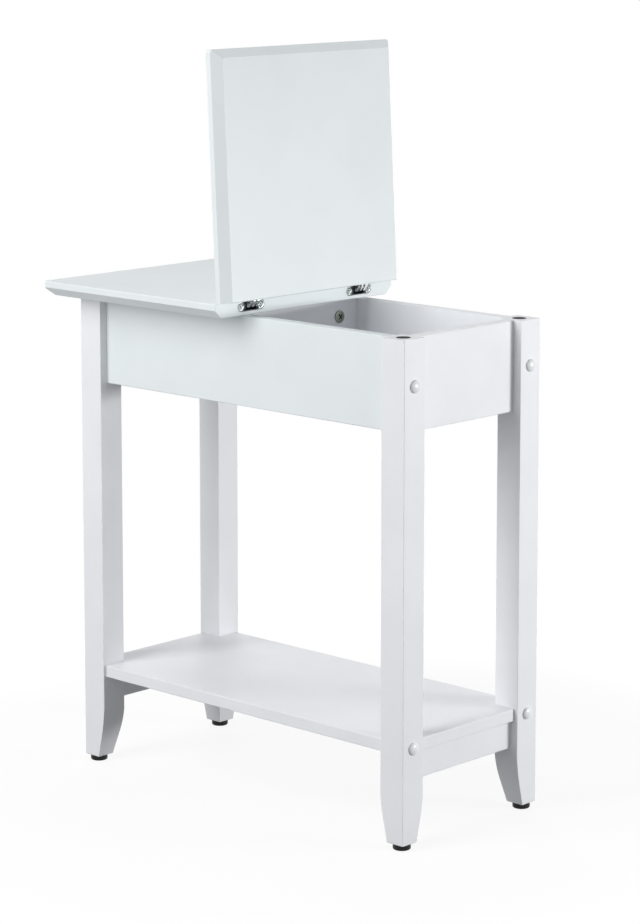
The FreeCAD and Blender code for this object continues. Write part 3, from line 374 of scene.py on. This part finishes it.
def turningTree():
    # a profile of points is turned about Z, takes a recess in its top, and is put on every seat
    tree = bpy.data.node_groups.new("turnedPieces", "GeometryNodeTree")
    sockets = [("Seats", "NodeSocketGeometry"), ("Profile", "NodeSocketObject"),
               ("Steps", "NodeSocketInt"), ("Top", "NodeSocketFloat"),
               ("Recess Across", "NodeSocketFloat"), ("Recess Width", "NodeSocketFloat"),
               ("Recess Depth", "NodeSocketFloat"), ("Recessed", "NodeSocketBool"),
               ("Material", "NodeSocketMaterial")]
    for name, kind in sockets:
        tree.interface.new_socket(name, in_out="INPUT", socket_type=kind)
    tree.interface.new_socket("Pieces", in_out="OUTPUT", socket_type="NodeSocketGeometry")
    given = addNode(tree, "NodeGroupInput").outputs
    position = addNode(tree, "GeometryNodeInputPosition").outputs[0]
    plain = turnedForm(tree, given, position)
    carved = addNode(tree, "GeometryNodeMeshBoolean",
                     {"operation": "DIFFERENCE", "solver": "EXACT"},
                     {"Mesh 1": plain, "Mesh 2": crossCutter(tree, given, position)}).outputs[0]
    form = addNode(tree, "GeometryNodeSwitch", {"input_type": "GEOMETRY"},
                   {"Switch": given["Recessed"], "False": plain, "True": carved}).outputs[0]
    placed = formOnSeats(tree, given, creasedForm(tree, form))
    real = addNode(tree, "GeometryNodeRealizeInstances", inputs={"Geometry": placed}).outputs[0]
    painted = addNode(tree, "GeometryNodeSetMaterial",
                      inputs={"Geometry": real, "Material": given["Material"]}).outputs[0]
    addNode(tree, "NodeGroupOutput", inputs={"Pieces": painted})
    return tree


turner = turningTree()
goldenAngle = math.radians(137.5)
# what a turned piece takes where its own dictionary says nothing; a piece that names no recess
# has none, and these sizes then only keep the unused cutter whole
turnedPlain = {"steps": 40, "recessAcross": 1 * mm, "recessWidth": 0.3 * mm,
               "recessDepth": 0.3 * mm}


def pointsObject(name, points, facings=None, drives=None):
    # loose points, and for seats the way and the angle that each gives its piece
    mesh = bpy.data.meshes.new(name)
    mesh.from_pydata([tuple(point) for point in points], [], [])
    if facings:
        mesh.attributes.new("facing", "FLOAT_VECTOR", "POINT")
        mesh.attributes.new("drive", "FLOAT", "POINT")
        for index, way in enumerate(facings):
            mesh.attributes["facing"].data[index].vector = way
            mesh.attributes["drive"].data[index].value = drives[index]
    holder = bpy.data.objects.new(name, mesh)
    scene.collection.objects.link(holder)
    return holder


def turnPieces(name, body, look, profile, seats, material, replaced):
    # seats are (place, facing); a screw that names no drive angle stops at any, each one golden
    # angle past the one before
    drives = [look.get("drive", goldenAngle * index) for index in range(len(seats))]
    holder = pointsObject(name, [place for place, _ in seats], [way for _, way in seats], drives)
    outline = pointsObject(f"{name}Profile", [(r, 0, z) for r, z in profile])
    modifier = holder.modifiers.new("turned", "NODES")
    modifier.node_group = turner
    full = dict(turnedPlain, **look)
    values = {"Profile": outline, "Steps": full["steps"], "Top": max(z for _, z in profile),
              "Recess Across": full["recessAcross"], "Recess Width": full["recessWidth"],
              "Recess Depth": full["recessDepth"], "Recessed": "recessAcross" in look,
              "Material": material}
    for item in turner.interface.items_tree:
        if item.in_out == "INPUT" and item.name in values:
            modifier[item.identifier] = values[item.name]
    holder.update_tag()
    evaluated = holder.evaluated_get(bpy.context.evaluated_depsgraph_get())
    mesh = bpy.data.meshes.new_from_object(evaluated)
    holder.modifiers.remove(modifier)
    holder.data = mesh
    bpy.data.objects.remove(outline)
    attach(holder, body)
    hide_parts(*replaced)


def arc(middle, across, up, start, finish, count):
    # points of a quarter or other part of an ellipse, as (radius, height), between two angles
    angles = [math.radians(start + (finish - start) * step / count) for step in range(count + 1)]
    return [(middle[0] + across * math.cos(a), middle[1] + up * math.sin(a)) for a in angles]


def boxCorners(node, inset):
    # the places that lie this far inside the corners of a node's box, to a micrometre
    low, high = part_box(node)
    spans = [sorted({round(low[i] + inset[i], 6), round(high[i] - inset[i], 6)})
             for i in range(3)]
    return [Vector((x, y, z)) for x in spans[0] for y in spans[1] for z in spans[2]]


# Domed caps over the leg bolts
boltCap = {"across": 15 * mm, "height": 4.5 * mm, "rim": 0.9 * mm, "steps": 48, "drive": 0.0}


def makeBoltCaps():
    look = boltCap
    radius = look["across"] / 2
    dome = arc((0, look["rim"]), radius, look["height"] - look["rim"],
               start=8, finish=90, count=12)
    profile = [(0, 0), (radius, 0), (radius, look["rim"])] + dome[:-1] + [(0, look["height"])]
    seats = [(place, (math.copysign(1, place.x), 0, 0))
             for place in boxCorners("bolt_caps", (look["height"], radius, radius))]
    turnPieces("boltCaps", "root", look, profile, seats, capPlastic,
               ["bolt_caps"])


# Wood screws: broad pan heads on the divider, smaller ones in the cleats
dividerScrew = {"across": 15.5 * mm, "head": 2.6 * mm, "rimShare": 0.5, "shaft": 4 * mm,
                "length": 30 * mm, "recessAcross": 8.4 * mm, "recessWidth": 1.6 * mm,
                "recessDepth": 2.4 * mm, "drive": math.radians(45)}
cleatScrew = {"across": 8 * mm, "head": 2.4 * mm, "rimShare": 0.3, "shaft": 4 * mm,
              "length": 30 * mm, "recessAcross": 4.4 * mm, "recessWidth": 1.1 * mm,
              "recessDepth": 1.5 * mm}
topScrew = dict(cleatScrew, length=40 * mm)


def screwTip(look):
    # the point, and where the shaft reaches its full width
    shaft = look["shaft"] / 2
    return [(0, -look["length"]), (shaft, 2 * shaft - look["length"])]


def panProfile(look):
    # shaft with its point, flat underside, short rim and low dome
    radius = look["across"] / 2
    rim = look["head"] * look["rimShare"]
    dome = arc((0, rim), radius, look["head"] - rim, start=10, finish=90, count=9)
    return (screwTip(look) + [(look["shaft"] / 2, 0), (radius, 0), (radius, rim)] + dome[:-1]
            + [(0, look["head"])])


def makeSideScrews(name, node, look, material):
    # a front and a rear screw whose heads face +X
    radius = look["across"] / 2
    low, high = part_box(node)
    seats = [(Vector((high.x - look["head"], y, (low.z + high.z) / 2)), (1, 0, 0))
             for y in (low.y + radius, high.y - radius)]
    turnPieces(name, "root", look, panProfile(look), seats, material, [node])


def makeTopScrews():
    # up through the cleats into the fixed top
    look = topScrew
    radius = look["across"] / 2
    low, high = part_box("top_screws")
    seats = [(Vector((x, y, low.z + look["head"])), (0, 0, -1))
             for x in (low.x + radius, high.x - radius)
             for y in (low.y + radius, high.y - radius)]
    turnPieces("topScrews", "root", look, panProfile(look), seats, zincPlate,
               ["top_screws"])


# The concealed hinges: where they turn, and how far the lid stands open, from shut
lidJoint = next(joint for joint in frame["joints"] if joint["name"] == "lid_hinge")
hingePoint = Vector(lidJoint["pos_m"])
restOpening = math.radians(-lidJoint["range_deg"][0])
lidTurn = Matrix.Rotation(restOpening, 3, Vector((0, -1, 0)))
hingePlaces = ("front", "rear")
# the face plate's outer edge, rolled over as cast; an edge of it is sharper than the corner
# angle, and its points lie this close to the plate's outline
hingePlate = {"rolled": 0.8 * mm, "steps": 3, "roundness": 0.5, "corner": math.radians(45),
              "closeness": 0.02 * mm}
hingeScrew = {"across": 5.2 * mm, "sunk": 0.35 * mm, "rim": 0.55 * mm, "shaft": 3.5 * mm,
              "length": 18 * mm, "apart": 34 * mm, "recessAcross": 3.4 * mm,
              "recessWidth": 0.9 * mm, "recessDepth": 1.2 * mm}


def asOnFixedSide(point, owner):
    # a point of either side at rest, from the hinge line, as it would lie on the fixed side
    spot = point - hingePoint
    if owner == "lid":
        spot = lidTurn.inverted() @ spot
        spot.x = -spot.x
    return spot


def makeHingeCase(owner, place):
    # a merged copy of the casing, with the outer edge of its face plate rolled over
    look = hingePlate
    name = f"hinge_case_{owner}_{place}"
    low, high = [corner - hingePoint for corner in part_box(f"hinge_case_fixed_{place}")]
    middle = (low + high) / 2
    radius = (high.z - low.z) / 2
    straight = (high.y - low.y) / 2 - radius
    shape = bmesh.new()
    shape.from_mesh(frame["nodes"][name].data)
    bmesh.ops.remove_doubles(shape, verts=shape.verts, dist=weldDistance)

    def onOutline(vertex):
        # the plate's outline is straight between two half circles
        spot = asOnFixedSide(vertex.co, owner)
        past = max(abs(spot.y - middle.y) - straight, 0)
        fromOutline = abs(math.hypot(past, spot.z - middle.z) - radius)
        return abs(spot.x - high.x) < look["closeness"] and fromOutline < look["closeness"]

    outline = [edge for edge in shape.edges
               if all(onOutline(vertex) for vertex in edge.verts)
               and edge.calc_face_angle(0) > look["corner"]]
    bmesh.ops.bevel(shape, geom=outline, offset=look["rolled"], segments=look["steps"],
                    profile=look["roundness"], affect="EDGES")
    mesh = bpy.data.meshes.new(f"{name}Rolled")
    shape.to_mesh(mesh)
    shape.free()
    mesh.shade_smooth()
    mesh.set_sharp_from_angle(angle=creaseAngle)
    mesh.materials.append(satinNickel)
    piece = bpy.data.objects.new(f"hingeCase{owner.capitalize()}{place.capitalize()}", mesh)
    scene.collection.objects.link(piece)
    flats = piece.modifiers.new("flats", "WEIGHTED_NORMAL")
    flats.keep_sharp = True
    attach(piece, "lid" if owner == "lid" else "root")
    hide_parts(name)


def makeHingeScrews(owner):
    # two countersunk screws to a casing, a little below its face plate
    look = hingeScrew
    radius = look["across"] / 2
    shaft = look["shaft"] / 2
    top = -look["sunk"]
    seat = top - look["rim"]
    profile = screwTip(look) + [(shaft, seat - radius + shaft), (radius, seat), (radius, top),
                                (0, top)]
    seats = []
    for place in hingePlaces:
        low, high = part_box(f"hinge_case_fixed_{place}")
        middle = Vector((high.x, (low.y + high.y) / 2, (low.z + high.z) / 2)) - hingePoint
        for way in (-1, 1):
            spot = middle + Vector((0, way * look["apart"] / 2, 0))
            facing = Vector((1, 0, 0))
            if owner == "lid":
                spot.x = -spot.x
                spot = lidTurn @ spot
                facing = lidTurn @ -facing
            seats.append((hingePoint + spot, facing))
    body = "lid" if owner == "lid" else "root"
    turnPieces(f"hingeScrews{owner.capitalize()}", body, look, profile, seats, satinNickel,
               [f"hinge_screws_{owner}"])


# Feet and lid pads
glide = {"across": 21 * mm, "height": 7 * mm, "sole": 2 * mm, "steps": 48, "drive": 0.0}
lidPad = {"across": 17 * mm, "thick": 1.5 * mm, "edge": 0.5 * mm, "steps": 48, "drive": 0.0}


def makeGlides():
    look = glide
    radius = look["across"] / 2
    sole = arc((radius - look["sole"], look["sole"]), look["sole"], look["sole"],
               start=-90, finish=0, count=6)
    profile = [(0, 0)] + sole + [(radius, look["height"]), (0, look["height"])]
    low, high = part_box("glides")
    seats = [(Vector((x, y, low.z)), (0, 0, 1))
             for x in (low.x + radius, high.x - radius)
             for y in (low.y + radius, high.y - radius)]
    turnPieces("footGlides", "root", look, profile, seats, glidePlastic,
               ["glides"])


def makeLidPads():
    look = lidPad
    radius = look["across"] / 2
    edge = arc((radius - look["edge"], look["thick"] - look["edge"]), look["edge"],
               look["edge"], start=0, finish=90, count=5)
    profile = [(0, 0), (radius, 0)] + edge + [(0, look["thick"])]
    low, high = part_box("lid_pads")
    seats = [(Vector(((low.x + high.x) / 2, y, low.z)), (0, 0, 1))
             for y in (low.y + radius, high.y - radius)]
    turnPieces("lidPads", "root", look, profile, seats, padRubber,
               ["lid_pads"])


makeBoltCaps()
makeSideScrews("dividerScrews", "divider_screws", dividerScrew, olivePlate)
makeSideScrews("cleatScrews", "cleat_screws", cleatScrew, zincPlate)
makeTopScrews()
for owner in ("fixed", "lid"):
    makeHingeScrews(owner)
    for place in hingePlaces:
        makeHingeCase(owner, place)
makeGlides()
makeLidPads()
print("turned pieces and hinge casings made")


# Camera: on the front right, a little above the open lid, about three and a half metres away.
# Angles are in degrees, the sensor's width in millimetres, and the focal length and shift in
# pixels of a frame this tall. The frame is upright, so the sensor's width lies along its height.

camera = {"place": Vector((2477.15, -2573.94, 1107.32)) * mm, "yaw": 43.45, "down": 8.21,
          "focalPixels": 2994.7, "shiftPixels": -157, "frameTall": 924, "sensor": 36.0}


def makeCamera():
    look = camera
    lens = bpy.data.cameras.new("studioCamera")
    lens.sensor_width = look["sensor"]
    lens.lens = look["focalPixels"] / look["frameTall"] * look["sensor"]
    lens.shift_y = look["shiftPixels"] / look["frameTall"]
    holder = bpy.data.objects.new("studioCamera", lens)
    holder.location = look["place"]
    holder.rotation_euler = (math.radians(90 - look["down"]), 0, math.radians(look["yaw"]))
    scene.collection.objects.link(holder)
    scene.camera = holder


# Studio: white surroundings, two broad lamps in front, one low and one high, a strip level
# with the top on the right, a little behind, and a broad one behind on the left. The floor is
# white where it is seen, and mid grey for the light that bounces off it, so that undersides
# stay dark. Nearer than shadowNear it shows shadowShare of its own shading, with its glow lifted
# by nearLift to make up for that, and past shadowFar none. All lamps aim at aimHeight.

studio = {"surroundings": 0.33, "skyTint": "#fcfdfd", "white": "#ffffff",
          "floorSide": 12.0, "floorColour": "#8c8c8c", "shadowShare": 0.4, "nearLift": 0.48,
          "shadowNear": 0.45, "shadowFar": 1.1, "aimHeight": 0.4}
lamps = [
    {"name": "frontLamp", "place": (-0.6, -2.6, 1.25), "size": (1.5, 1.5), "watts": 36},
    {"name": "overheadLamp", "place": (-0.4, -2.3, 2.7), "size": (1.3, 1.3), "watts": 37},
    {"name": "rightLamp", "place": (2.5, 1.3, 0.585), "size": (0.9, 0.13), "watts": 48},
    {"name": "backLamp", "place": (-2.3, 2.1, 1.5), "size": (1.5, 1.5), "watts": 28,
     "mirrored": False},
]


def seenDirectly(tree):
    # 1 where the camera, a mirror or glass looks, and 0 for light that bounces on
    path = addNode(tree, "ShaderNodeLightPath")
    either = addNode(tree, "ShaderNodeMath", {"operation": "MAXIMUM"},
                     {0: path.outputs["Is Camera Ray"], 1: path.outputs["Is Glossy Ray"]})
    return addNode(tree, "ShaderNodeMath", {"operation": "MAXIMUM"},
                   {0: either.outputs[0], 1: path.outputs["Is Transmission Ray"]}).outputs[0]


def makeSurroundings():
    look = studio
    world = bpy.data.worlds.new("studioWorld")
    scene.world = world
    world.use_nodes = True
    tree = world.node_tree
    tree.nodes.clear()
    soft = addNode(tree, "ShaderNodeBackground",
                   inputs={"Color": hexColour(look["skyTint"]),
                           "Strength": look["surroundings"]})
    white = addNode(tree, "ShaderNodeBackground",
                    inputs={"Color": hexColour(look["white"]), "Strength": 1.0})
    mixed = addNode(tree, "ShaderNodeMixShader",
                    inputs={0: seenDirectly(tree), 1: soft.outputs[0], 2: white.outputs[0]})
    addNode(tree, "ShaderNodeOutputWorld", inputs={"Surface": mixed.outputs[0]})


def makeFloorPaper():
    # seen directly it glows white, and its own shading shows through near the table
    look = studio
    material, tree = newMaterial("palePaperFloor")
    matt = addNode(tree, "ShaderNodeBsdfDiffuse",
                   inputs={"Color": hexColour(look["floorColour"])})
    radius = addNode(tree, "ShaderNodeVectorMath", {"operation": "LENGTH"},
                     {0: objectPlace(tree)}).outputs["Value"]
    near = addNode(tree, "ShaderNodeMapRange", {"interpolation_type": "SMOOTHSTEP"},
                   {"Value": radius, "From Min": look["shadowNear"],
                    "From Max": look["shadowFar"], "To Min": 1.0, "To Max": 0.0}).outputs[0]
    share = addNode(tree, "ShaderNodeMath", {"operation": "MULTIPLY"},
                    {0: near, 1: look["shadowShare"]}).outputs[0]
    strength = addNode(tree, "ShaderNodeMath", {"operation": "MULTIPLY_ADD"},
                       {0: near, 1: look["nearLift"], 2: 1.0}).outputs[0]
    glow = addNode(tree, "ShaderNodeEmission",
                   inputs={"Color": hexColour(look["white"]), "Strength": strength})
    lifted = addNode(tree, "ShaderNodeMixShader",
                     inputs={0: share, 1: glow.outputs[0], 2: matt.outputs[0]})
    shown = addNode(tree, "ShaderNodeMixShader",
                    inputs={0: seenDirectly(tree), 1: matt.outputs[0], 2: lifted.outputs[0]})
    finishMaterial(tree, shown)
    return material


def makeFloor():
    half = studio["floorSide"] / 2
    mesh = bpy.data.meshes.new("floor")
    mesh.from_pydata([(-half, -half, 0), (half, -half, 0), (half, half, 0), (-half, half, 0)],
                     [], [(0, 1, 2, 3)])
    mesh.materials.append(makeFloorPaper())
    floor = bpy.data.objects.new("floor", mesh)
    scene.collection.objects.link(floor)


def makeLamp(lamp):
    # a broad lamp aimed at the table; one that isn't mirrored makes no highlight
    light = bpy.data.lights.new(lamp["name"], "AREA")
    light.shape = "RECTANGLE"
    light.size, light.size_y = lamp["size"]
    light.energy = lamp["watts"]
    holder = bpy.data.objects.new(lamp["name"], light)
    holder.location = lamp["place"]
    aim = Vector((0, 0, studio["aimHeight"])) - holder.location
    holder.rotation_euler = aim.to_track_quat("-Z", "Y").to_euler()
    holder.visible_glossy = lamp.get("mirrored", True)
    scene.collection.objects.link(holder)


makeCamera()
makeSurroundings()
makeFloor()
for lamp in lamps:
    makeLamp(lamp)
print("camera and studio made")
